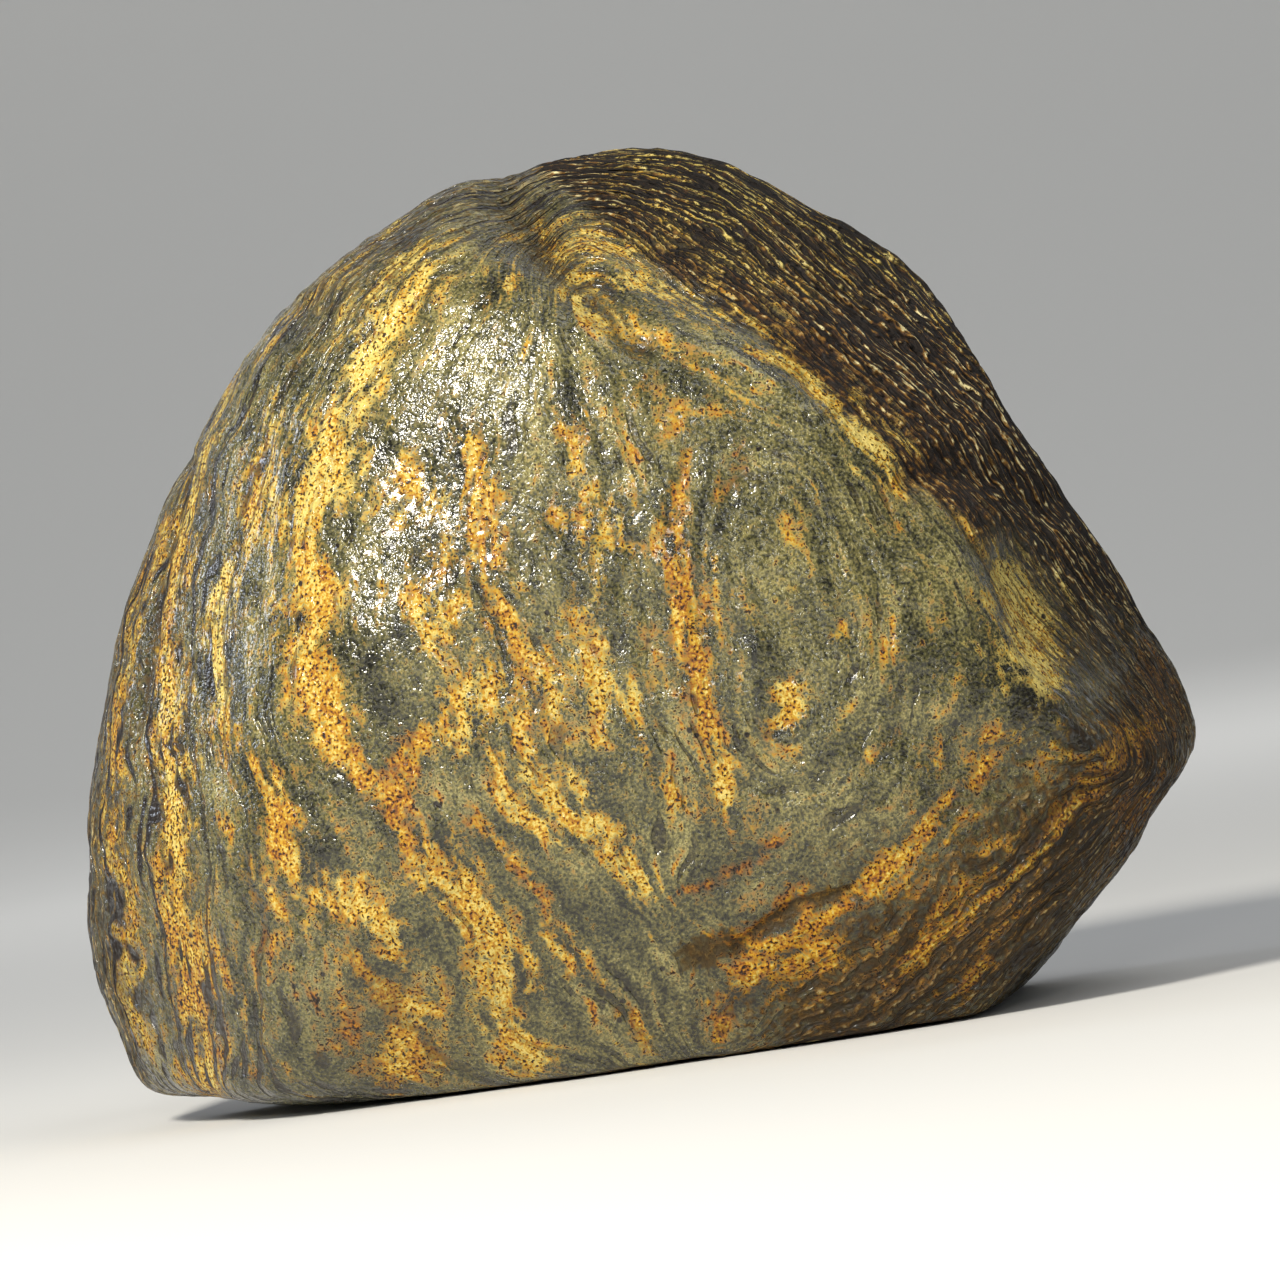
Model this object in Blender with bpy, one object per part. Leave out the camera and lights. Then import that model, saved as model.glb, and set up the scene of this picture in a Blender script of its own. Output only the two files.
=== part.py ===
# Rough banded iron stromatolite: one water-worn, domed stone that stands on a broken flat underside.
# The origin is on the underside, below the middle of the outline. The domed face looks along -Y,
# +X is its right-hand side and +Z is up. Lengths are in millimetres until the mesh is made.

import bmesh
import bpy
import numpy as np

NAME = "stone"
MM = 0.001

# Size of the whole stone
CENTRE_HEIGHT = 55.5      # height of the outline's centre above the underside
FRONT_DEPTH = 50.0        # centre to the top of the domed face
BACK_DEPTH = 39.0         # centre to the back
LEFT_FULLNESS = 2.3       # 2 is an ellipse, more is squarer
RIGHT_FULLNESS = 3.1      # towards the flank at the upper right
FLANK_ANGLE = 40
BACK_FULLNESS = 2.7

# Widest section, seen from the front: angle from +X in degrees, and radius.
# Below the underside the outline runs on, and the flat break cuts it off.
OUTLINE = (
    (0, 67.4), (11, 62.5), (21, 61.1), (31, 61.8), (41, 65.0), (59, 64.6), (78, 66.6), (90, 64.2),
    (100, 64.0), (110, 62.8), (130, 62.2), (150, 63.3), (161, 65.1), (171, 68.3), (182, 72.8),
    (192, 77.9), (202, 84.0), (211, 88.0), (220, 93.0), (232, 84.0), (250, 76.0), (270, 73.0),
    (292, 76.0), (308, 81.0), (322, 81.5), (333, 75.9), (342, 78.3), (348, 75.8), (354, 70.6),
)

# Flat places: angle round the outline and tilt towards the front (+) or the back (-), in degrees,
# distance from the centre, and how tight the edge round it is.
FLATS = {
    "right flank": (41, 25, 55.2, 70),
    "crown flank": (74, 31, 59.0, 34),
    "nose flank": (22, 25, 58.0, 44),
    "left flank": (190, 34, 71.5, 20),
    "left shoulder": (160, 36, 60.5, 16),
    "under left": (261, 3, 62.3, 44),
    "under right": (312, 6, 71.2, 44),
    "back": (75, -81, 36.5, 40),
    "lower back": (250, -52, 48.0, 40),
    "upper back left": (128, -42, 52.0, 40),
    "upper back right": (28, -40, 54.0, 40),
}

# Grooves and hollows of the domed face: points as (x, z), half-width, depth.
GROOVES = {
    "crown crease": (((-6.0, 116.0), (-2.0, 109.0), (3.0, 101.0), (8.4, 93.5)), 3.4, 2.0),
    "ledge": (((40.0, 70.5), (46.0, 71.5), (52.0, 69.0), (58.0, 64.5)), 3.0, 1.3),
    "left crack": (((-58.0, 82.0), (-63.5, 70.0), (-66.5, 52.0)), 2.6, 0.9),
    "gold hollow": (((54.5, 58.5), (56.0, 50.0)), 5.0, 1.6),
}

# Ridges left by the harder layers where the sides cut across them.
LAYER_PITCH = 9.0
LAYER_RELIEF = 1.6

# Unevenness of the surface: wavelength and height
WORN_LUMPS = ((34.0, 1.1), (15.0, 0.45))
BROKEN_LUMPS = ((19.0, 1.2), (11.0, 0.8))      # added on the back

# Faces of the mesh along one side of the cube that is rounded into the stone
CUBE_CUTS = 28

STONE_COLOUR = (0.185, 0.150, 0.078, 1.0)
STONE_ROUGHNESS = 0.5


# A smooth closed curve of value against angle, through the stations (cubic Hermite pieces).
def value_round(angle, stations):
    at = np.array([station[0] for station in stations], float)
    value = np.array([station[1] for station in stations], float)
    at = np.concatenate([[at[-1] - 360], at, at[:2] + 360])
    value = np.concatenate([[value[-1]], value, value[:2]])
    slope = np.gradient(value, at)
    place = np.clip(np.searchsorted(at, angle % 360, side="right") - 1, 0, len(at) - 2)
    span = at[place + 1] - at[place]
    t = (angle % 360 - at[place]) / span
    start = (1 + 2 * t) * (1 - t) ** 2 * value[place] + t * (1 - t) ** 2 * span * slope[place]
    end = t * t * (3 - 2 * t) * value[place + 1] + t * t * (t - 1) * span * slope[place + 1]
    return start + end


def facing(angle, tilt):
    angle, tilt = np.radians(angle), np.radians(tilt)
    return np.array([np.cos(angle) * np.cos(tilt), -np.sin(tilt), np.sin(angle) * np.cos(tilt)])


# The radius cut back to a flat place, which is rounded into what is round it.
def cut_flat(radius, direction, angle, tilt, distance, sharpness):
    reach = np.maximum(direction @ facing(angle, tilt), 0) / distance
    return (radius ** -sharpness + reach ** sharpness) ** (-1 / sharpness)


# Smooth noise from -1 to 1: random slopes at whole numbers, blended between them.
def noise(points, seed):
    slopes = np.random.default_rng(seed).normal(size=(16, 16, 16, 3))
    cell = np.floor(points).astype(int)
    inside = points - cell
    weight = inside ** 3 * (inside * (inside * 6 - 15) + 10)
    total = np.zeros(len(points))
    for corner in np.ndindex(2, 2, 2):
        slope = slopes[tuple(((cell + corner) % 16).T)]
        share = np.prod(np.where(corner, weight, 1 - weight), axis=1)
        total += share * np.sum(slope * (inside - corner), axis=1)
    return total


# Distance of each point from a polyline, all in the plane of the outline.
def distance_to(path, x, z):
    nearest = np.full(len(x), np.inf)
    for (x0, z0), (x1, z1) in zip(path, path[1:]):
        run, rise = x1 - x0, z1 - z0
        along = np.clip(((x - x0) * run + (z - z0) * rise) / (run * run + rise * rise), 0, 1)
        nearest = np.minimum(nearest, np.hypot(x - x0 - along * run, z - z0 - along * rise))
    return nearest


def smooth_step(value, low, high):
    t = np.clip((value - low) / (high - low), 0, 1)
    return t * t * (3 - 2 * t)


# Points of the stone's surface in the given directions from its centre.
def stone_surface(direction):
    across = np.hypot(direction[:, 0], direction[:, 2])
    angle = np.degrees(np.arctan2(direction[:, 2], direction[:, 0]))
    front = direction[:, 1] < 0
    outline = value_round(angle, OUTLINE)
    depth = np.where(front, FRONT_DEPTH, BACK_DEPTH)
    right = (1 + np.cos(np.radians(angle - FLANK_ANGLE))) / 2
    fullness = np.where(front, LEFT_FULLNESS + (RIGHT_FULLNESS - LEFT_FULLNESS) * right, BACK_FULLNESS)
    total = (across / outline) ** fullness + (np.abs(direction[:, 1]) / depth) ** fullness
    radius = total ** (-1 / fullness)
    for flat in FLATS.values():
        radius = cut_flat(radius, direction, *flat)

    place = direction * radius[:, None]
    broken = smooth_step(direction[:, 1], 0.0, 0.5)
    for seed, (wavelength, height) in enumerate(WORN_LUMPS):
        radius = radius + height * noise(place / wavelength + 40, seed)
    for seed, (wavelength, height) in enumerate(BROKEN_LUMPS, start=10):
        radius = radius + height * broken * noise(place / wavelength + 40, seed)

    steep = 1 - smooth_step(np.abs(direction[:, 1]), 0.35, 0.75)
    layer = (place[:, 1] + 2.5 * noise(place / 22 + 40, 7)) / LAYER_PITCH
    ledge = (1 - layer % 1) ** 2 * smooth_step(layer % 1, 0, 0.25)
    radius = radius + LAYER_RELIEF * steep * (ledge - 0.25)

    x, z = place[:, 0], place[:, 2] + CENTRE_HEIGHT
    for path, half_width, depth in GROOVES.values():
        away = distance_to(path, x, z) / half_width
        radius = radius - depth * np.exp(-away ** 2) * smooth_step(-direction[:, 1], -0.15, 0.1)
    return direction * radius[:, None] + (0, 0, CENTRE_HEIGHT)


# A cube cut into a fine grid, each corner moved out or in to the stone's surface.
def worn_stone():
    mesh = bmesh.new()
    bmesh.ops.create_cube(mesh, size=2)
    bmesh.ops.subdivide_edges(mesh, edges=mesh.edges[:], cuts=CUBE_CUTS, use_grid_fill=True)
    cube = np.array([vertex.co for vertex in mesh.verts])
    even = np.tan(cube * np.pi / 4)      # keeps the faces near one size
    direction = even / np.linalg.norm(even, axis=1, keepdims=True)
    for vertex, place in zip(mesh.verts, stone_surface(direction) * MM):
        vertex.co = place
    return mesh


# Takes off what is below the underside and closes the cut with one flat face.
def break_off_flat(mesh):
    everything = mesh.verts[:] + mesh.edges[:] + mesh.faces[:]
    cut = bmesh.ops.bisect_plane(
        mesh, geom=everything, dist=0.0004, plane_co=(0, 0, 0), plane_no=(0, 0, 1), clear_inner=True
    )["geom_cut"]
    for vertex in [piece for piece in cut if isinstance(piece, bmesh.types.BMVert)]:
        vertex.co.z = 0
    rim = [edge for edge in mesh.edges if edge.is_boundary]
    bmesh.ops.contextual_create(mesh, geom=rim)
    bmesh.ops.recalc_face_normals(mesh, faces=mesh.faces[:])


def stone_material():
    material = bpy.data.materials.new("banded iron stone")
    material.use_nodes = True
    shader = material.node_tree.nodes["Principled BSDF"]
    shader.inputs["Base Color"].default_value = STONE_COLOUR
    shader.inputs["Roughness"].default_value = STONE_ROUGHNESS
    return material


def main():
    for old in list(bpy.data.objects):
        bpy.data.objects.remove(old)
    stone_mesh = worn_stone()
    break_off_flat(stone_mesh)
    data = bpy.data.meshes.new(NAME)
    stone_mesh.to_mesh(data)
    stone_mesh.free()
    data.materials.append(stone_material())
    data.shade_smooth()
    data.set_sharp_from_angle(angle=np.radians(50))
    stone = bpy.data.objects.new(NAME, data)
    parts = bpy.data.collections.new("banded iron stromatolite")
    bpy.context.scene.collection.children.link(parts)
    parts.objects.link(stone)


main()
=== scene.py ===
import bpy
import numpy as np
from mathutils import Matrix, Vector


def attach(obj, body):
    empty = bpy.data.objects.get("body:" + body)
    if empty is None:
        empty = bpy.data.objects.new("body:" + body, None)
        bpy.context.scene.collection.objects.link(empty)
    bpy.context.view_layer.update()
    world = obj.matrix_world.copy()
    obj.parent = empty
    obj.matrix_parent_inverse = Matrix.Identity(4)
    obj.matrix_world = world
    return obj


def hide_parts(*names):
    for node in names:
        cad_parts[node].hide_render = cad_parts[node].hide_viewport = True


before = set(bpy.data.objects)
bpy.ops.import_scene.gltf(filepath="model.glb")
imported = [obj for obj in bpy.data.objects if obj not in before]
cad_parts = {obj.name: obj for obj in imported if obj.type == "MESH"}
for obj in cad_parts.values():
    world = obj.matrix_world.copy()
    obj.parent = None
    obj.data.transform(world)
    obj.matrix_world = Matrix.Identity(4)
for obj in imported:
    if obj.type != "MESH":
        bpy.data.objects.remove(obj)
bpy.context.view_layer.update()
mm = 0.001
print("frame loaded")


# From 0 at low to 1 at high, by three times the square less twice the cube of the way between.
def smoothStep(value, low, high):
    t = np.clip((value - low) / (high - low), 0, 1)
    return t * t * (3 - 2 * t)


noiseCells = 16         # along one side of the block of random slopes, which repeats
noiseShift = 40         # the part of the block that the stone's middle sits in


# Gradient noise, about -1 to 1: a random slope at each whole-numbered point, and between the
# eight nearest points their straight lines are blended with a fifth-power ease.
def noise(points, seed):
    slopes = np.random.default_rng(seed).normal(size=(noiseCells, noiseCells, noiseCells, 3))
    points = points + noiseShift
    cell = np.floor(points).astype(int)
    inside = points - cell
    weight = inside ** 3 * (inside * (inside * 6 - 15) + 10)
    total = np.zeros(len(points))
    for corner in np.ndindex(2, 2, 2):
        slope = slopes[tuple(((cell + corner) % noiseCells).T)]
        share = np.prod(np.where(corner, weight, 1 - weight), axis=1)
        total += share * np.sum(slope * (inside - corner), axis=1)
    return total


# The same noise added up at halving sizes and heights, each from the next seed.
def roughNoise(points, size, octaves, seed):
    total = np.zeros(len(points))
    for octave in range(octaves):
        total += noise(points * 2 ** octave / size, seed + octave) / 2 ** octave
    return total


# A piece at the origin: its points and faces as given, with one number at each point for each
# attribute's name.
def meshObject(name, points, faces, material, attributes):
    mesh = bpy.data.meshes.new(name)
    mesh.from_pydata(points.tolist(), [], faces)
    for key, values in attributes.items():
        layer = mesh.attributes.new(key, "FLOAT", "POINT")
        layer.data.foreach_set("value", values.astype(np.float32))
    mesh.shade_smooth()
    mesh.materials.append(material)
    made = bpy.data.objects.new(name, mesh)
    bpy.context.scene.collection.objects.link(made)
    return made


# An sRGB hex colour as linear red, green, blue and alpha: the standard's straight part near
# black, and its power of 2.4 above.
def hexColour(code):
    srgb = np.array([int(code[i:i + 2], 16) / 255 for i in (0, 2, 4)])
    linear = np.where(srgb <= 0.04045, srgb / 12.92, ((srgb + 0.055) / 1.055) ** 2.4)
    return (*linear.tolist(), 1.0)


# Adds a node, sets its options, fills or links its inputs, and gives back an output if it has any.
def addNode(tree, kind, options, inputs, output=0):
    node = tree.nodes.new(kind)
    for key, value in options.items():
        setattr(node, key, value)
    for key, value in inputs.items():
        if isinstance(value, bpy.types.NodeSocket):
            tree.links.new(value, node.inputs[key])
        else:
            node.inputs[key].default_value = value
    return node.outputs[output] if node.outputs else None


# The stone. Sizes and heights are in mm unless levels are named, and each pair of limits gives
# where a change of the surface begins and ends.
bandedStone = {
    "form": {
        "centreHeight": 55.5,
        "frontDepth": 50.0,
        "backDepth": 39.0,
        "leftFullness": 2.3,          # 2 is an ellipse, more is squarer
        "rightFullness": 3.1,
        "flankAngle": 40,
        "backFullness": 2.7,
        # widest section seen from the front: angle from +X in degrees, and radius
        "outline": (
            (0, 67.4), (11, 62.5), (21, 61.1), (31, 61.8), (41, 65.0), (59, 64.6), (78, 66.6), (90, 64.2),
            (100, 64.0), (110, 62.8), (130, 62.2), (150, 63.3), (161, 65.1), (171, 68.3), (182, 72.8),
            (192, 77.9), (202, 84.0), (211, 88.0), (220, 93.0), (232, 84.0), (250, 76.0), (270, 73.0),
            (292, 76.0), (308, 81.0), (322, 81.5), (333, 75.9), (342, 78.3), (348, 75.8), (354, 70.6),
        ),
        # flat places: angle, tilt to the front, distance from the centre, tightness of the edge
        "flats": (
            (41, 25, 55.2, 70),           # right flank
            (74, 31, 59.0, 34),           # crown flank
            (22, 25, 58.0, 44),           # nose flank
            (190, 34, 71.5, 20),          # left flank
            (160, 36, 60.5, 16),          # left shoulder
            (261, 3, 62.3, 44),           # under left
            (312, 6, 71.2, 44),           # under right
            (75, -81, 36.5, 40),          # back
            (250, -52, 48.0, 40),         # lower back
            (128, -42, 52.0, 40),         # upper back left
            (28, -40, 54.0, 40),          # upper back right
        ),
        "baseTightness": 110,         # edge between the underside and the sides, about 0.4 mm
        "wornLumps": ((34.0, 1.1), (15.0, 0.45)),      # size and height
        "brokenLumps": ((19.0, 1.2), (11.0, 0.8)),     # added on the back
        "broken": (0.0, 0.5),         # where they set in: y of the direction from the centre
    },
    "pattern": {
        "levelPerDepth": 0.6,         # layer levels passed for each mm of depth, round the sides
        "slack": 30.0,                # how loosely the bent plate follows the layer lines
        "bendEnds": (-6.0, 6.0),      # y where the domed face's layers turn into the sides' ones
        "outlineStep": 12,            # degrees between the points that hold the plate at the outline
        "outlineSpread": 1.02,        # of the outline, so that they stand just clear of it
        "waviness": (12.0, 0.9),      # size, and height in levels, of the layers' uneven run
        "core": (0.0, 1.9), "halo": (0.4, 5.2),       # half widths over which a streak thins out
        "haloShare": 0.39,
        "wander": ((7.0, 0.9), (2.6, 0.4)),   # size and height of the streaks' unsteady edges
        "streak": (9.0, 1.5),         # length along the layers and width in levels of the tone streaks
        "streakStrength": 0.24,
        "blotch": (12.0, 0.32),       # size and strength of the tone's slow changes
    },
    # ochre layers round the sides and on the back, where the photograph shows little
    "sideOchre": {
        "ends": (-9.0, 3.0),          # y where they take over from the streaks
        "pitch": 6.0,                 # levels between them
        "length": 60.0,
        "cover": (-0.1, 0.7),
        "strength": 0.7,
        "back": (0.1, 0.6),           # y of the direction where they fade, and by how much
        "backLoss": 0.6,
        "uneven": (14.0, 0.4),        # size and height
        "rust": 0.35,
        "rustUneven": (22.0, 0.4),
    },
    # pale gold on the outer half of the flank near the crown, growing towards the top: partly its gold
    # layers, partly a painted highlight along the flank's top edge
    "goldFlankAndHighlight": {
        "past": (2, 9), "z": (88, 104), "x": (-4, 10), "back": (0.0, 0.5), "strength": 0.8,
    },
    "relief": {
        "cells": 126,                 # along one side of each of the six patches
        "lookFront": 0.32,            # how much the cells crowd to the domed face
        "ridgeLine": (                # where the domed face breaks off to the rough flank, (x, z)
            (-9.0, 128.0), (-3.0, 120.0), (4.0, 111.5), (10.0, 104.0), (23.5, 90.5), (33.3, 78.5),
            (39.4, 71.0), (45.5, 63.5), (49.5, 54.5), (53.5, 47.0), (62.0, 42.0), (76.0, 40.0),
        ),
        "breakEnds": (-0.8, 2.6),     # height over that line where the worn skin ends
        "breakUneven": (6.0, 0.8),
        "softNose": (48, 64, 3),      # x over which the break widens, and by how many times more
        "turnEnds": (-0.15, 0.3),     # y of the direction where it ends on the other sides
        "turnUneven": (15.0, 0.12),
        "turnLean": 0.1,              # how much sooner on the right
        "marksEnd": (-0.15, 0.1),     # the marks end where the face turns away
        "ridgePitch": 2.6,            # levels between the ridges of the rough flank
        "ridgeHeight": 0.9,
        "ridgeUneven": (5.0, 0.4),
        "ridgeShape": (0.3, 0.45),    # of the pitch: the crest starts and ends here
        "ridgeMiddle": 0.4,           # level of the ridges that leaves the form's size as it is
        "ridgePatches": (9.0, 0.8, 0.7, 0.15, 1.4),   # size, mean, swing, least and most
        "bandPitch": 2.4,             # levels between the low swells of the domed face
        "bandLength": 16.0,
        "bandHeight": 0.3,
        "ochreDepth": 0.25,           # the softer ochre layers have worn back
        "ripple": (3.1, 0.2),         # size and height
        "sand": (1.5, 0.1),
        "underEnds": (0.985, 1.01),   # of the way to the underside, where the broken flat sets in
        "underUneven": (8.0, 0.25),
        "underBare": 0.8,             # share of the ochre that the broken flat loses
    },
    # marks of the domed face: line of (x, z, half width), depth in mm, brown (a real stain on some
    # marks, painted shade on others; above 1 it covers the ochre too), and roughness from 0 to 1,
    # or from -1 to 0 where the mark smooths what is there
    "marks": {
        "crown crease": (
            ((-6.0, 116.0, 3.6), (-2.0, 109.0, 3.4), (3.0, 101.0, 3.0), (8.4, 93.5, 2.4)), 2.0, 0.55, 0.3),
        "ledge": (
            ((40.0, 70.5, 2.6), (46.0, 71.5, 3.0), (52.0, 69.0, 3.0), (58.0, 64.5, 2.6)), 1.2, 0.3, 0.9),
        # left crack: the brown along it is painted shade inside a crack finer than the mesh can show
        "left crack": (
            ((-53.0, 88.0, 0.8), (-58.0, 76.0, 0.9), (-61.7, 63.3, 0.9), (-65.5, 52.0, 0.6)), 0.9, 0.7, 0.0),
        # gold hollow: the smoothing keeps the dark flank colour off it, partly to show its gold and partly as
        # painted light on a face turned from the lamps
        "gold hollow": (((51.5, 58.5, 3.4), (54.0, 48.0, 5.2)), 1.0, 0.0, -0.8),
        # nose: its brown is partly a real stain and partly painted shade where the face turns from the light
        "nose": (((60.0, 47.0, 6.0), (71.0, 43.0, 6.0)), 0.0, 0.6, 0.5),
        "crown": (((-32.0, 108.0, 7.0), (-15.0, 116.0, 7.0), (-2.0, 121.0, 8.0)), 0.0, 0.45, 0.3),
        # lower crack: the dark brown along it is painted shade inside a crack finer than the mesh can show
        "lower crack": (
            ((9.5, 13.4, 1.0), (13.5, 16.2, 1.1), (18.1, 18.0, 1.2), (24.8, 19.0, 1.0)), 1.2, 1.7, 0.2),
        "rust spot": (((3.5, 14.0, 2.2), (8.0, 15.0, 2.0)), 0.3, 1.3, 0.2),
        # lower right: its brown is partly a real stain and partly painted shade where the face turns from the
        # light
        "lower right": (
            ((22.0, 4.0, 14.0), (46.0, 14.0, 14.0), (64.0, 28.0, 12.0), (72.0, 40.0, 9.0)), 0.0, 0.95, 0.45),
        # left edge: its brown is painted shade that darkens the left side
        "left edge": (
            ((-58.0, 84.0, 6.0), (-67.0, 64.0, 7.0), (-72.0, 40.0, 8.0), (-74.0, 8.0, 9.0)), 0.0, 0.5, 0.1),
    },
    "finish": {
        "thread": (3.0, 0.7),         # mm along the layers, levels across: the layers' fine threads
        "lamina": (7.0, 0.85),        # thin layers that part in dark seams
        "drawnRoughness": 0.6,        # of both
        "grain": 0.9,                 # mm; iron and silica grains are finer, drawn coarser to show
        "speck": 0.42,
        "pitSpacing": 2.6,
        "finePitch": 1.0,             # levels between the fine ridges of the broken layer edges
        "crackPitch": 4.6,            # levels between the long open cracks of the steep sides
        "edgeOn": (0.30, 0.80),       # y of the direction, over which the layers turn face on
        # colours along each tone, from low to high
        "greys": ((0.06, "151408"), (0.36, "464428"), (0.60, "716a3e"), (0.92, "b5ab6e")),
        "ochres": ((0.0, "d6c068"), (0.25, "c29722"), (0.5, "ad7610"), (0.75, "864d08"), (1.0, "3a2006")),
        # the flanks' light end colours the ridges' crests and its dark end the valleys: partly painted
        # highlight and painted shade
        "flanks": ((0.0, "1a1006"), (0.3, "40270b"), (0.62, "8a6222"), (1.0, "f0e0a6")),
        # dark brown of the marks: a real stain, and painted shade on the left edge, the nose, the lower right
        # and the cracks
        "stain": "3e2b06",
        "pit": "1a1006",
        # what each value starts from, and how much of each pattern is added (one is the number 1)
        "sums": {
            "ridgeWave": ("fineLevel", {"lamina": 1.3, "thread": 1.8, "grain": 0.4}),
            "crackWave": ("crackLevel", {"lamina": 0.35}),
            "stained": ("stain", {"grain": 1.2, "speck": 0.8}),
            "greyTone": (-0.85, {"thread": 0.6, "speck": 1.5, "lamina": 0.6, "streak": 1.0, "blotch": 0.5}),
            "ochreLaid": ("ochre", {"streak": 1.7, "thread": 1.5, "lamina": 1.3, "grain": 0.6, "speck": 1.3}),
            "ochreTone": ("rust", {"thread": 1.0, "grain": -0.55, "speck": 2.0, "blotch": 0.5, "one": -1.22}),
            "flankTone": (-1.72, {"grain": 1.5, "lamina": 0.9, "thread": 0.9, "speck": 0.7, "blotch": 0.4}),
            "pockTone": ("speck", {"edgeOn": 0.06}),
            "fineRise": ("thread", {"grain": 1.0, "speck": 0.8}),
        },
        # where each of these begins and ends, and the value that it comes to
        "crest": (0.12, 0.46, 1.0),
        "stainAndShadeEnds": (1.25, 1.85, 0.85),
        "ochreEnds": (2.63, 3.25, 1.0),
        "seamEnds": (0.42, 0.35, 1.0),
        "seamPatches": (-0.04, 0.18, 0.6),
        "crackEnds": (0.06, 0.025, 1.0),
        "pockEnds": (0.61, 0.70, 1.0),
        "pitEnds": (0.19, 0.10, 1.0),
        "pitPatches": (-0.05, 0.15, 1.0),
        "flankCrestHighlightAndShade": 0.85,        # of the fine ridges' light crests and dark valleys: partly the layers' colour, partly painted highlight and painted shade
        "flankOchreHides": -0.85,     # how much of the dark flank the ochre covers
        "pocked": (0.25, 0.95),       # how strong the pocks are on the grey layers and on the ochre
        "dullGrain": 0.8,
        "dullEnds": (0.4, 1.4),
        "roughness": (0.24, 0.8),     # polished grey layers, open ochre and broken ones
        "varnish": 0.9,               # thin gloss on the worn face, none on the broken flank
        "varnishLoss": {"ochreMask": 0.4, "stain": 0.9},
        "bumpHeight": 0.19,           # mm for a rise of 1
        "holeRise": -2.0, "ochreRise": -0.35, "laminaRise": 7.0,
        "ridgeRise": (7.5, 0.5),      # where it is rough, and elsewhere
    },
}


# A smooth closed curve of value against angle: cubic pieces through the stations.
def valueRound(angle, stations):
    at = np.array([station[0] for station in stations], float)
    value = np.array([station[1] for station in stations], float)
    at = np.concatenate([[at[-1] - 360], at, at[:2] + 360])
    value = np.concatenate([[value[-1]], value, value[:2]])
    slope = np.gradient(value, at)
    place = np.clip(np.searchsorted(at, angle % 360, side="right") - 1, 0, len(at) - 2)
    span = at[place + 1] - at[place]
    t = (angle % 360 - at[place]) / span
    start = (1 + 2 * t) * (1 - t) ** 2 * value[place] + t * (1 - t) ** 2 * span * slope[place]
    end = t * t * (3 - 2 * t) * value[place + 1] + t * t * (t - 1) * span * slope[place + 1]
    return start + end


# Distance from the centre in each direction: an ellipsoid with a varying outline and fullness,
# cut back by flat places, each rounded into the form by a high power mean.
def stoneRadius(direction, form):
    across = np.hypot(direction[:, 0], direction[:, 2])
    angle = np.degrees(np.arctan2(direction[:, 2], direction[:, 0]))
    front = direction[:, 1] < 0
    right = (1 + np.cos(np.radians(angle - form["flankAngle"]))) / 2
    frontFullness = form["leftFullness"] + (form["rightFullness"] - form["leftFullness"]) * right
    fullness = np.where(front, frontFullness, form["backFullness"])
    depth = np.where(front, form["frontDepth"], form["backDepth"])
    outline = valueRound(angle, form["outline"])
    total = (across / outline) ** fullness + (np.abs(direction[:, 1]) / depth) ** fullness
    radius = total ** (-1 / fullness)
    for turn, tilt, distance, tightness in form["flats"]:
        turn, tilt = np.radians(turn), np.radians(tilt)
        facing = np.array([np.cos(turn) * np.cos(tilt), -np.sin(tilt), np.sin(turn) * np.cos(tilt)])
        reach = np.maximum(direction @ facing, 0) / distance
        radius = (radius ** -tightness + reach ** tightness) ** (-1 / tightness)
    place = direction * radius[:, None]
    broken = smoothStep(direction[:, 1], *form["broken"])
    for seed, (size, height) in enumerate(form["wornLumps"]):
        radius = radius + height * noise(place / size, seed)
    for seed, (size, height) in enumerate(form["brokenLumps"], start=10):
        radius = radius + height * broken * noise(place / size, seed)
    return radius


# The photograph's view of the stone: a level camera in front of it, leaning to one side.
photoView = {
    "distance": 900.0,
    "aim": (2.7, 55.1),           # x and z of the middle of the picture, where y = 0
    "lean": 8.5,                  # degrees
    "halfView": 86.4,             # from the middle of the picture to its edge
    "halfPixels": 640,
    "deepest": 60.0,              # no point of the face stands further in front of the centre
    "halvings": 24,
}
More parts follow.
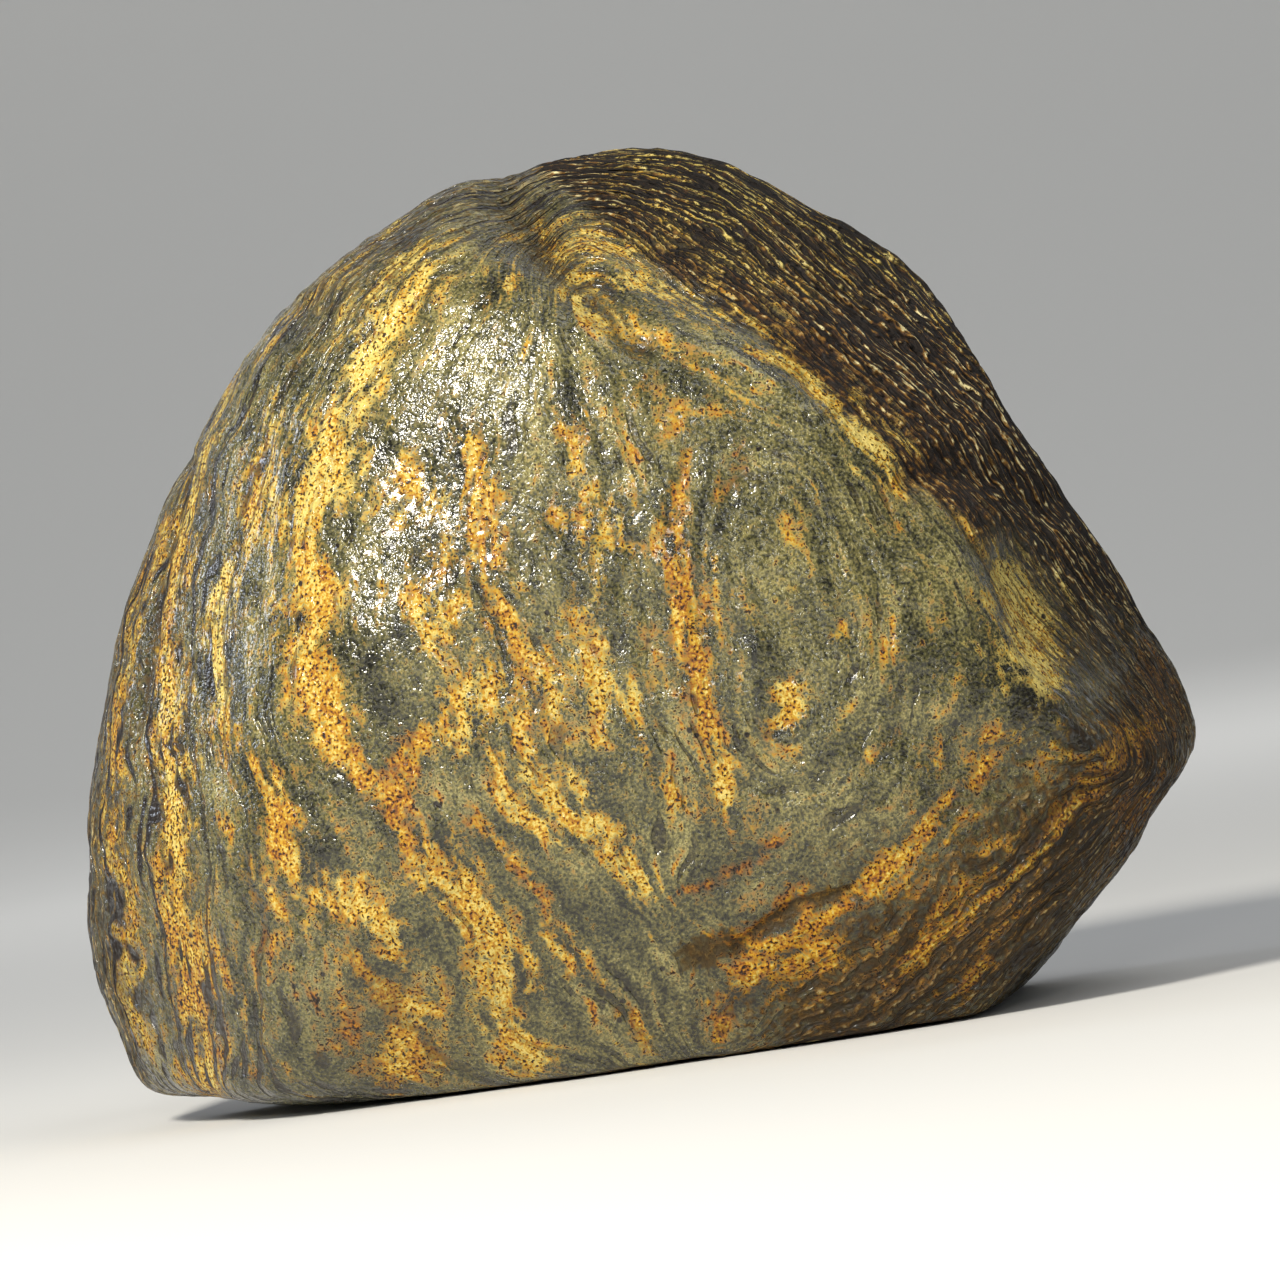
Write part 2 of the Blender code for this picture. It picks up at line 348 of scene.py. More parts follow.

# Ochre streaks of the domed face, placed on the photograph: strength, rustiness from 0
# (pale gold) to 1 (rust brown), and the streak's line as (column, row, half width) in its pixels.
ochreStreaks = (
    (0.6, 0.15, ((400, 225, 5), (350, 265, 5), (310, 300, 5), (275, 335, 6), (250, 365, 6), (230, 392, 7),
        (212, 425, 8), (203, 455, 9))),
    (0.95, 0.28, ((203, 455, 9), (194, 485, 9), (186, 515, 10), (178, 560, 11), (170, 610, 11), (165, 650,
        13), (165, 700, 15), (169, 750, 17), (173, 790, 17), (170, 830, 15), (172, 870, 15), (178, 920,
        16), (185, 960, 20), (195, 1010, 16), (203, 1060, 14), (207, 1090, 12))),
    (0.8, 0.3, ((165, 520, 5), (150, 560, 7), (138, 600, 10), (128, 640, 11), (122, 690, 11), (115, 750,
        11), (113, 800, 13), (114, 850, 13), (117, 900, 14), (122, 950, 15), (130, 1000, 15), (138, 1035,
        10))),
    (0.95, 0.3, ((262, 450, 9), (257, 480, 11), (250, 515, 12))),
    (0.75, 0.12, ((240, 550, 10), (230, 580, 11), (222, 615, 13), (215, 660, 13), (218, 700, 14), (226,
        740, 15), (222, 760, 10))),
    (1, 0.1, ((430, 262, 7), (420, 280, 11), (400, 305, 16), (385, 330, 16), (365, 368, 16), (358, 400,
        12), (335, 432, 20), (325, 462, 26), (305, 498, 22), (300, 530, 20), (306, 555, 16))),
    (1, 0.3, ((306, 555, 16), (316, 580, 17), (318, 605, 18), (305, 640, 22), (313, 680, 20), (322, 715,
        18), (332, 745, 13), (356, 775, 12))),
    (0.6, 0.1, ((275, 600, 12), (280, 640, 12), (300, 660, 14))),
    (1, 0.6, ((356, 775, 12), (378, 790, 15), (397, 812, 15), (410, 838, 14))),
    (0.95, 0.6, ((425, 735, 9), (405, 752, 13), (400, 780, 14), (395, 805, 14))),
    (1, 0.25, ((410, 838, 14), (430, 862, 22), (458, 895, 18), (480, 930, 15), (495, 965, 22), (505, 995,
        16), (515, 1030, 11), (534, 1056, 11))),
    (0.8, 0.1, ((455, 236, 4), (435, 245, 6), (412, 257, 7), (392, 270, 6), (372, 292, 6))),
    (0.7, 0.2, ((512, 232, 5), (500, 236, 7))),
    (0.8, 0.25, ((510, 280, 8), (495, 292, 8), (484, 302, 6))),
    (0.8, 0.1, ((560, 290, 6), (600, 310, 8))),
    (0.85, 0.5, ((250, 762, 11), (262, 785, 16), (275, 815, 15), (284, 845, 12), (292, 868, 8))),
    (0.6, 0.35, ((300, 868, 8), (330, 880, 12), (360, 886, 13), (380, 882, 9))),
    (0.85, 0.25, ((318, 895, 12), (350, 912, 15), (378, 925, 14), (398, 945, 11), (410, 962, 6))),
    (0.95, 0.3, ((358, 955, 9), (370, 980, 14), (392, 998, 16), (412, 1008, 17), (432, 1012, 9))),
    (0.95, 0.4, ((408, 1030, 18), (400, 1055, 20), (398, 1080, 16))),
    (0.8, 0.4, ((430, 1040, 7), (437, 1075, 8))),
    (0.55, 0.75, ((340, 1005, 14), (345, 1030, 18), (355, 1060, 14))),
    (0.55, 0.4, ((248, 865, 13), (253, 895, 14))),
    (0.6, 0.5, ((215, 955, 15), (232, 980, 14))),
    (0.5, 0.6, ((200, 1000, 14), (222, 1035, 14), (215, 1060, 10))),
    (0.55, 0.6, ((245, 1072, 11), (262, 1078, 8))),
    (0.35, 0.7, ((262, 930, 20), (285, 965, 26), (300, 1000, 20))),
    (0.45, 0.2, ((205, 800, 10), (225, 830, 12))),
    (0.5, 0.3, ((272, 905, 10), (290, 915, 12))),
    (0.9, 0.4, ((470, 440, 8), (480, 480, 11), (484, 520, 12), (485, 550, 15), (488, 580, 16), (496, 612,
        15), (510, 640, 14), (528, 662, 20), (528, 690, 18))),
    (0.6, 0.25, ((405, 460, 8), (410, 500, 10), (400, 520, 10))),
    (0.9, 0.15, ((450, 555, 14), (430, 570, 22), (425, 600, 22), (435, 630, 16), (455, 600, 14))),
    (0.7, 0.15, ((500, 665, 18), (485, 700, 24), (470, 740, 18), (440, 725, 10), (450, 700, 12))),
    (0.85, 0.25, ((495, 755, 8), (502, 785, 9), (512, 812, 10), (540, 830, 9))),
    (1, 0.2, ((525, 715, 9), (522, 745, 11), (532, 768, 11), (548, 792, 11), (566, 812, 11), (588, 827,
        12), (608, 834, 11), (618, 852, 10), (630, 872, 10), (646, 886, 6))),
    (0.6, 0.2, ((550, 700, 8), (560, 740, 14), (575, 775, 16), (590, 800, 8))),
    (0.85, 0.8, ((478, 820, 7), (486, 834, 7), (496, 846, 5))),
    (0.65, 0.5, ((505, 855, 8), (525, 870, 10), (538, 890, 11), (548, 915, 9), (556, 940, 7))),
    (0.75, 0.4, ((560, 948, 8), (585, 970, 11), (605, 985, 8), (622, 1005, 8), (634, 1022, 8), (644, 1040,
        5))),
    (0.9, 0.3, ((530, 960, 8), (537, 975, 10), (532, 992, 9))),
    (0.8, 0.35, ((555, 520, 12), (580, 528, 14), (600, 530, 12), (630, 545, 10))),
    (0.6, 0.15, ((590, 500, 14), (620, 520, 14))),
    (0.65, 0.25, ((572, 410, 9), (575, 440, 11), (572, 465, 13))),
    (0.5, 0.35, ((580, 560, 8), (575, 590, 10), (580, 615, 9))),
    (0.65, 0.2, ((590, 665, 9), (602, 685, 9), (622, 702, 9), (636, 722, 8), (646, 748, 7), (656, 772, 8),
        (672, 798, 9), (700, 812, 8))),
    (0.5, 0.2, ((560, 700, 7), (590, 700, 7), (640, 700, 8))),
    (0.55, 0.25, ((560, 615, 8), (612, 648, 9))),
    (0.6, 0.45, ((684, 455, 7), (680, 485, 8), (676, 510, 9))),
    (1, 0.5, ((674, 515, 9), (676, 550, 12), (684, 580, 15), (690, 610, 16), (690, 640, 14), (694, 670,
        12), (700, 700, 10))),
    (1, 0.25, ((700, 700, 10), (706, 722, 13), (716, 748, 14), (724, 775, 11), (728, 800, 7), (730, 815,
        4))),
    (0.5, 0.65, ((740, 450, 7), (733, 470, 11), (722, 500, 10))),
    (0.5, 0.2, ((712, 560, 6), (716, 590, 6))),
    (1, 0.35, ((783, 690, 7), (792, 705, 9), (785, 718, 9), (774, 730, 9))),
    (0.35, 0.3, ((795, 745, 8), (798, 765, 7))),
    (0.5, 0.5, ((756, 812, 7), (764, 818, 5))),
    (0.4, 0.5, ((700, 805, 10), (735, 830, 12), (745, 860, 10))),
    (0.85, 0.85, ((685, 892, 4), (700, 887, 6), (722, 878, 9), (742, 868, 9), (758, 856, 7), (772, 845,
        5))),
    (0.06, 0.35, ((778, 455, 7), (785, 490, 9), (798, 525, 10), (812, 550, 12))),
    (1, 0.5, ((716, 1042, 4), (722, 1020, 7), (730, 1000, 12), (748, 980, 18), (770, 965, 20), (795, 948,
        16), (820, 930, 13), (840, 912, 10), (855, 897, 10), (875, 880, 13), (898, 862, 13))),
    (1, 0.45, ((898, 862, 13), (915, 845, 10), (930, 825, 11), (940, 808, 10), (950, 795, 7))),
    (0.85, 0.8, ((742, 970, 5), (746, 948, 9), (762, 935, 9), (780, 912, 7), (795, 888, 8), (803, 878,
        5))),
    (0.6, 0.4, ((770, 1005, 8), (790, 985, 10), (830, 960, 12))),
    (0.6, 0.75, ((870, 1008, 8), (892, 990, 13), (905, 980, 11))),
    (0.9, 0.6, ((948, 1000, 4), (962, 988, 7), (978, 970, 9), (992, 958, 6))),
    (0.95, 0.4, ((905, 965, 8), (930, 945, 10), (950, 928, 8), (965, 912, 8), (980, 898, 8), (1000, 886,
        8), (1022, 872, 8), (1042, 856, 7))),
    (1, 0.45, ((1042, 856, 7), (1055, 838, 10), (1068, 818, 13), (1080, 798, 14), (1092, 778, 15), (1110,
        755, 17), (1135, 735, 18), (1155, 725, 14))),
    (0.6, 0.7, ((918, 945, 8), (928, 925, 11), (935, 908, 8))),
    (0.35, 0.5, ((1010, 945, 8), (1030, 915, 9), (1050, 900, 8))),
    (0.4, 0.4, ((985, 840, 7), (1010, 820, 9), (1030, 805, 8))),
    (0.5, 0.5, ((930, 760, 10), (945, 742, 12), (962, 728, 10))),
    (0.8, 0.4, ((970, 778, 8), (982, 768, 10), (994, 752, 7))),
    (0.75, 0.5, ((985, 742, 6), (1000, 736, 7), (1015, 740, 5))),
    (0.7, 0.45, ((875, 762, 5), (886, 748, 6), (897, 736, 5))),
    (0.5, 0.6, ((864, 802, 5), (872, 790, 5))),
    (0.5, 0.45, ((892, 655, 8), (902, 685, 10), (898, 705, 7))),
    (0.65, 0.3, ((836, 635, 6), (847, 634, 8), (844, 625, 5))),
    (0.35, 0.3, ((795, 620, 6), (803, 640, 7))),
    (0.5, 0.5, ((1133, 672, 5), (1130, 695, 8), (1122, 715, 7))),
    (0.35, 0.4, ((960, 690, 7), (975, 675, 8))),
    (0.3, 0.3, ((950, 600, 12), (930, 640, 14))),
    (1, 0, ((640, 152, 7), (665, 163, 10), (695, 178, 12), (725, 200, 13), (750, 220, 12), (768, 235,
        7))),
    (0.8, 0.05, ((690, 152, 5), (730, 168, 8), (765, 192, 10), (800, 222, 10), (830, 255, 8))),
    (0.75, 0.2, ((535, 215, 6), (548, 235, 11), (570, 243, 13), (600, 238, 13), (630, 244, 12), (652, 250,
        6))),
    (0.75, 0.05, ((572, 262, 8), (600, 275, 10), (640, 280, 10), (670, 292, 11), (705, 305, 10), (725,
        320, 8))),
    (0.4, 0.25, ((600, 240, 16), (560, 225, 14), (620, 225, 12))),
    (0.6, 0.35, ((690, 245, 6), (712, 262, 7), (728, 275, 5))),
    (0.6, 0.3, ((705, 285, 6), (725, 300, 6), (760, 325, 6), (790, 345, 5))),
    (1, 0.1, ((752, 350, 5), (780, 358, 7), (805, 372, 8), (825, 392, 8), (845, 415, 8), (862, 435, 9),
        (880, 458, 9), (902, 484, 7))),
    (0.7, 0.1, ((850, 395, 5), (872, 420, 8), (895, 440, 10), (910, 445, 6))),
    (0.5, 0.2, ((640, 150, 5), (600, 170, 8), (620, 190, 8), (640, 200, 6))),
    (1, 0.05, ((1008, 580, 7), (1015, 605, 14), (1028, 630, 22), (1035, 655, 24), (1045, 672, 14))),
    (0.55, 0.2, ((955, 520, 5), (985, 552, 6), (1003, 580, 7))),
    (0.45, 0.2, ((868, 470, 8), (880, 500, 9), (905, 520, 8))),
    (0.35, 0.5, ((640, 385, 14), (675, 405, 18), (690, 425, 12))),
    (0.4, 0.25, ((610, 320, 14), (650, 345, 20), (690, 365, 16))),
    (0.3, 0.2, ((720, 380, 14), (740, 420, 12))),
    (0.03, 0.25, ((780, 540, 14), (800, 590, 12))),
    (0.5, 0.3, ((972, 600, 5), (982, 625, 6))),
    (0.32, 0.3, ((420, 500, 40), (450, 580, 52), (520, 680, 52), (590, 760, 36))),
    (0.29, 0.25, ((590, 560, 36), (620, 640, 40), (640, 720, 36), (680, 800, 28))),
    (0.34, 0.35, ((270, 820, 42), (330, 900, 52), (390, 980, 52), (420, 1050, 36))),
    (0.26, 0.35, ((520, 880, 42), (560, 960, 42), (600, 1030, 26))),
    (0.3, 0.5, ((800, 980, 42), (900, 900, 46), (1010, 820, 46), (1110, 740, 34))),
    (0.27, 0.45, ((900, 980, 34), (1000, 920, 34), (1080, 840, 26))),
    (0.22, 0.3, ((580, 240, 26), (650, 320, 36), (720, 380, 30))),
    (0.26, 0.3, ((640, 440, 30), (720, 400, 30))),
    (0.27, 0.2, ((340, 300, 26), (300, 370, 30), (265, 430, 26))),
    (0.26, 0.3, ((880, 620, 26), (930, 660, 26), (960, 720, 26))),
    (0.22, 0.3, ((700, 800, 34), (760, 820, 34))),
    (0.26, 0.35, ((230, 880, 26), (225, 960, 30), (240, 1040, 26))),
    (0.6, 0.85, ((1150, 640, 20), (1168, 700, 24), (1160, 760, 22), (1120, 830, 22))),
    # the last two, strong and pale, on the gold patch and the crown's top edge: partly their gold layers,
    # partly painted light on faces turned from the lamps
    (1.6, 0.02, ((1012, 578, 12), (1030, 610, 20), (1040, 655, 17), (1045, 680, 10))),
    (1.5, 0.05, ((640, 150, 8), (700, 172, 12), (770, 212, 10))),
)

# Lines that follow one layer over the domed face: the layer's level in mm, and its points as
# (column, row) of the photograph, placed in the same way.
layerLines = (
    (4, ((215, 412), (150, 560), (122, 660), (115, 800), (122, 950), (140, 1042))),
    (10, ((300, 303), (240, 385), (200, 455), (176, 560), (165, 700), (172, 830), (184, 960), (203,
        1080))),
    (17, ((400, 245), (300, 350), (258, 460), (232, 560), (215, 660), (222, 750), (245, 860), (255, 960),
        (262, 1080))),
    (26, ((500, 232), (425, 275), (365, 370), (318, 460), (300, 530), (318, 600), (313, 680), (335, 750),
        (395, 805), (445, 880), (492, 955), (530, 1052))),
    (31, ((520, 300), (460, 400), (430, 500), (405, 600), (430, 690), (460, 770), (490, 850), (550, 930),
        (642, 1038))),
    (37, ((535, 300), (500, 400), (482, 500), (490, 590), (528, 670), (525, 740), (570, 815), (620, 860),
        (665, 930), (695, 1010))),
    (42, ((555, 330), (575, 430), (590, 530), (590, 620), (620, 705), (655, 770), (685, 850))),
    (47, ((590, 300), (640, 400), (676, 500), (685, 600), (698, 690), (722, 770), (732, 812))),
    (46, ((688, 890), (742, 868), (800, 835), (865, 798), (890, 745), (904, 690), (897, 620), (865, 530),
        (812, 450), (740, 390), (660, 345))),
    (41, ((716, 1040), (760, 968), (845, 905), (898, 860), (950, 795), (992, 748), (1005, 700), (985,
        620), (950, 555), (895, 490), (840, 425), (760, 360), (650, 290), (560, 240))),
    (35, ((790, 1035), (870, 1005), (935, 940), (1000, 886), (1045, 852), (1080, 798), (1135, 735))),
    (28, ((950, 1005), (1050, 900), (1120, 830), (1165, 760))),
    (52, ((740, 520), (750, 620), (770, 720), (800, 700), (845, 640), (830, 560), (790, 480))),
)


# Distance of each point from a line of straight pieces, over the line's half width there: the
# least of the distances from its pieces, each at the point's foot on the piece.
def nearness(x, z, line):
    nearest = np.full(len(x), np.inf)
    for (x0, z0, half0), (x1, z1, half1) in zip(line, line[1:]):
        run, rise = x1 - x0, z1 - z0
        along = np.clip(((x - x0) * run + (z - z0) * rise) / (run * run + rise * rise), 0, 1)
        away = np.hypot(x - x0 - along * run, z - z0 - along * rise)
        nearest = np.minimum(nearest, away / (half0 + (half1 - half0) * along))
    return nearest


# Depth of the domed face in front of the centre's plane, met by lines that start at (x, z) and
# draw in by the given shares of their depth: the stretch that holds it is halved again and again.
def faceDepth(x, z, drawX=0.0, drawZ=0.0):
    form = bandedStone["form"]
    rise = z - form["centreHeight"]
    low, high = np.zeros(len(x)), np.full(len(x), photoView["deepest"])
    for halving in range(photoView["halvings"]):
        middle = (low + high) / 2
        spot = np.stack([x - drawX * middle, -middle, rise - drawZ * middle], 1)
        reach = np.linalg.norm(spot, axis=1)
        inside = reach < stoneRadius(spot / reach[:, None], form)
        low, high = np.where(inside, middle, low), np.where(inside, high, middle)
    return low


# Places x and z on the domed face of the photograph's pixels, and the size of a pixel there: the
# pixel's offset from the middle, turned by the lean, shrinks by the share of the distance that
# the face stands nearer to the camera.
def ontoStone(column, row):
    distance = photoView["distance"]
    pixel = photoView["halfView"] / photoView["halfPixels"]
    across = (column - photoView["halfPixels"]) * pixel
    up = (photoView["halfPixels"] - row) * pixel
    lean = np.radians(photoView["lean"])
    offX = across * np.cos(lean) + up * np.sin(lean)
    offZ = up * np.cos(lean) - across * np.sin(lean)
    aimX, aimZ = photoView["aim"]
    depth = faceDepth(aimX + offX, aimZ + offZ, offX / distance, offZ / distance)
    shrink = 1 - depth / distance
    return aimX + offX * shrink, aimZ + offZ * shrink, pixel * shrink


# Level of the layer at each point. Round the sides it goes with the depth. On the domed face a
# thin plate bent through the layer lines is added, which is 0 round the outline: for each of
# their points a weight, solved for, times r squared log r, and a plane.
def layerLevel(points, outlinePoints):
    pattern = bandedStone["pattern"]
    spots = [(column, row, level) for level, line in layerLines for column, row in line]
    column, row, level = np.array(spots, float).T
    x, z = ontoStone(column, row)[:2]
    known = level - pattern["levelPerDepth"] * faceDepth(x, z)
    place = np.concatenate([np.stack([x, z], 1), outlinePoints])
    known = np.concatenate([known, np.zeros(len(outlinePoints))])

    # twice r squared log r, from every point to every known place; the tiny sum spares it log 0
    def plate(x, z):
        apart = (x[:, None] - place[None, :, 0]) ** 2 + (z[:, None] - place[None, :, 1]) ** 2
        return apart * np.log(apart + 1e-6)

    count = len(place)
    system = np.zeros((count + 3, count + 3))
    system[:count, :count] = plate(place[:, 0], place[:, 1]) + pattern["slack"] * np.eye(count)
    system[:count, count] = 1
    system[count, :count] = 1
    system[:count, count + 1:] = place
    system[count + 1:, :count] = place.T
    weights = np.linalg.solve(system, np.concatenate([known, np.zeros(3)]))
    bend = plate(points[:, 0], points[:, 2]) @ weights[:count]
    bend += weights[count] + points[:, 0] * weights[count + 1] + points[:, 2] * weights[count + 2]
    onFront = 1 - smoothStep(points[:, 1], *pattern["bendEnds"])
    return pattern["levelPerDepth"] * -points[:, 1] + bend * onFront


# Ochre and rustiness at each point: the strongest streak that covers it, thinned out sideways
# from a core and a wider halo, and the mean rustiness of the streaks by their cover.
def ochreOver(points):
    pattern = bandedStone["pattern"]
    x, z = points[:, 0].copy(), points[:, 2].copy()
    for seed, (size, height) in enumerate(pattern["wander"]):
        x += height * noise(points / size, 60 + seed)
        z += height * noise(points / size, 70 + seed)
    spots = np.array([spot for strength, rust, line in ochreStreaks for spot in line], float)
    spotX, spotZ, pixel = ontoStone(spots[:, 0], spots[:, 1])
    spots = np.stack([spotX, spotZ, spots[:, 2] * pixel], 1)
    ends = np.cumsum([len(line) for strength, rust, line in ochreStreaks])[:-1]
    ochre = np.zeros(len(x))
    heat, weight = np.full(len(x), 2e-4), np.full(len(x), 5e-4)      # rustiness 0.4 off the streaks
    share = pattern["haloShare"]
    for (strength, rust, _), line in zip(ochreStreaks, np.split(spots, ends)):
        near = nearness(x, z, line)
        core = 1 - smoothStep(near, *pattern["core"])
        halo = 1 - smoothStep(near, *pattern["halo"])
        cover = strength * ((1 - share) * core + share * halo)
        ochre = np.maximum(ochre, cover)
        heat += cover * rust
        weight += cover
    return ochre, heat / weight


# Directions to the corners of six square patches of cells that wrap a ball: the tangent of an
# even angle along each side, drawn towards the front, with the patches' shared corners merged.
def patchDirections(cells, lookFront):
    step = np.arange(cells + 1)
    u, v = [side.ravel() for side in np.meshgrid(step, step, indexing="ij")]
    corners, quads = [], []
    grid = np.arange((cells + 1) ** 2).reshape(cells + 1, cells + 1)
    quad = np.stack([grid[:-1, :-1], grid[1:, :-1], grid[1:, 1:], grid[:-1, 1:]], -1)
    quad = quad.reshape(-1, 4)
    for axis in range(3):
        for end in (0, cells):
            patch = np.zeros((len(u), 3), int)
            patch[:, axis] = end
            patch[:, (axis + 1) % 3], patch[:, (axis + 2) % 3] = (u, v) if end else (v, u)
            quads.append(quad + len(corners) * len(u))
            corners.append(patch)
    merged, where = np.unique(np.concatenate(corners), axis=0, return_inverse=True)
    even = np.tan((merged / cells * 2 - 1) * np.pi / 4)
    direction = even / np.linalg.norm(even, axis=1, keepdims=True) + (0, -lookFront, 0)
    direction /= np.linalg.norm(direction, axis=1, keepdims=True)
    return direction, where.ravel()[np.concatenate(quads)]


# Ochre and rustiness all round: the streaks of the domed face, and on the sides and the back
# noise drawn out along the layers. Past is the height over the line of the break.
def ochreAllRound(direction, place, level, past):
    x, y, z = place.T
    look, pale = bandedStone["sideOchre"], bandedStone["goldFlankAndHighlight"]
    ochre, rust = ochreOver(place)
    onSide = smoothStep(y, *look["ends"])
    along = np.stack([level / look["pitch"], x / look["length"], z / look["length"]], 1)
    size, height = look["uneven"]
    laid = smoothStep(noise(along, 31) + height * roughNoise(place, size, 3, 33), *look["cover"])
    laid *= 1 - look["backLoss"] * smoothStep(direction[:, 1], *look["back"])
    ochre = ochre * (1 - onSide) + look["strength"] * laid * onSide
    size, height = look["rustUneven"]
    sideRust = np.clip(look["rust"] + height * roughNoise(place, size, 2, 35), 0, 1)
    rust = rust * (1 - onSide) + sideRust * onSide

    # partly painted highlight: the gold grows towards the flank's top edge
    gold = smoothStep(past, *pale["past"])
    gold *= smoothStep(z, *pale["z"]) * smoothStep(x, *pale["x"])
    gold *= pale["strength"] * (1 - smoothStep(direction[:, 1], *pale["back"]))
    return np.maximum(ochre, gold), rust * (1 - gold)


# How far the surface stands out or in: saw-toothed ridges where it is rough, long swells where
# it is worn, ochre worn back, ripples and sand.
def layerLift(place, level, ochre, rough):
    look = bandedStone["relief"]
    size, height = look["ridgeUneven"]
    tooth = (level + height * roughNoise(place, size, 2, 41)) / look["ridgePitch"] % 1
    rising, falling = look["ridgeShape"]
    crest = smoothStep(tooth, 0.0, rising) * (1 - smoothStep(tooth, falling, 1.0))
    size, mean, swing, least, most = look["ridgePatches"]
    patches = np.clip(mean + swing * roughNoise(place, size, 2, 43), least, most)
    lift = look["ridgeHeight"] * rough * patches * (crest - look["ridgeMiddle"])
    length = look["bandLength"]
    along = np.stack([level / look["bandPitch"], place[:, 0] / length, place[:, 2] / length], 1)
    lift += look["bandHeight"] * (1 - rough) * noise(along, 45)
    lift -= look["ochreDepth"] * ochre * (1 - rough)
    for seed, (size, height) in enumerate((look["ripple"], look["sand"]), start=51):
        lift += height * noise(place / size, seed)
    return lift


# The worn stone: in each direction from its centre, the form's distance, moved by what the
# marks, the layers and the grain add, and stopped at the flat underside.
def buildStone(material):
    form, pattern, look = bandedStone["form"], bandedStone["pattern"], bandedStone["relief"]
    direction, quads = patchDirections(look["cells"], look["lookFront"])
    centre = form["centreHeight"]
    radius = stoneRadius(direction, form)
    place = direction * radius[:, None] + (0, 0, centre)

    around = np.radians(np.arange(0, 360, pattern["outlineStep"]))
    ring = np.stack([np.cos(around), 0 * around, np.sin(around)], 1)
    outlinePoints = (ring * stoneRadius(ring, form)[:, None])[:, ::2]
    level = layerLevel(place, outlinePoints * pattern["outlineSpread"] + (0, centre))
    size, height = pattern["waviness"]
    level += height * roughNoise(place, size, 3, 20)
    print("layers laid")

    # rough where the worn skin has broken off: past the line on the flank, and round the back
    ridgeX, ridgeZ = np.array(look["ridgeLine"]).T
    start, end, times = look["softNose"]
    soft = 1 + times * smoothStep(place[:, 0], start, end)
    size, height = look["breakUneven"]
    past = (place[:, 2] - np.interp(place[:, 0], ridgeX, ridgeZ)) / soft
    past += height * roughNoise(place, size, 3, 37)
    size, height = look["turnUneven"]
    turned = direction[:, 1] + height * roughNoise(place, size, 2, 39)
    turned -= look["turnLean"] * direction[:, 0]
    rough = np.maximum(smoothStep(past, *look["breakEnds"]), smoothStep(turned, *look["turnEnds"]))
    ochre, rust = ochreAllRound(direction, place, level, past)
    print("ochre laid")

    lift, stain = np.zeros(len(place)), np.zeros(len(place))
    facingFront = smoothStep(-direction[:, 1], *look["marksEnd"])
    for line, depth, brown, broken in bandedStone["marks"].values():
        closeBy = np.exp(-nearness(place[:, 0], place[:, 2], line) ** 2) * facingFront
        lift -= depth * closeBy
        stain = np.maximum(stain, brown * closeBy)
        ochre = ochre * (1 - np.clip(brown - 1, 0, 1) * closeBy)
        rough = np.maximum(rough, broken * closeBy) * (1 + min(broken, 0) * closeBy)
    radius = radius + lift + layerLift(place, level, ochre, rough)

    # the underside: a flat at z = 0 with a slightly rounded edge, a little uneven but never below;
    # the clip and the minimum only keep the high power in range
    reach = np.clip(-direction[:, 2], 1e-9, None) * radius / centre
    tight = form["baseTightness"]
    radius = radius / (1 + np.minimum(reach, 4.0) ** tight) ** (1 / tight)
    place = direction * radius[:, None] + (0, 0, centre)
    under = smoothStep(reach, *look["underEnds"])
    size, height = look["underUneven"]
    place[:, 2] += under * height * np.clip(1 - roughNoise(place, size, 3, 81), 0, 2)
    place[:, 2] = np.maximum(place[:, 2], 0)
    ochre = ochre * (1 - look["underBare"] * under)
    rough = np.maximum(rough, under)

    length, width = pattern["streak"]
    along = np.stack([level / width, place[:, 0] / length, place[:, 2] / length], 1)
    size, strength = pattern["blotch"]
    attributes = {
        "level": level * mm, "ochre": ochre, "rust": rust, "stain": stain, "rough": rough,
        "edgeOn": 1 - smoothStep(np.abs(direction[:, 1]), *bandedStone["finish"]["edgeOn"]),
        "streak": pattern["streakStrength"] * roughNoise(along, 1.0, 2, 91),
        "blotch": strength * roughNoise(place, size, 4, 95),
    }
    stone = meshObject("bandedStone", place * mm, quads.tolist(), material, attributes)
    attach(stone, "root")
    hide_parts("stone")
    print("stone built:", len(place), "points")


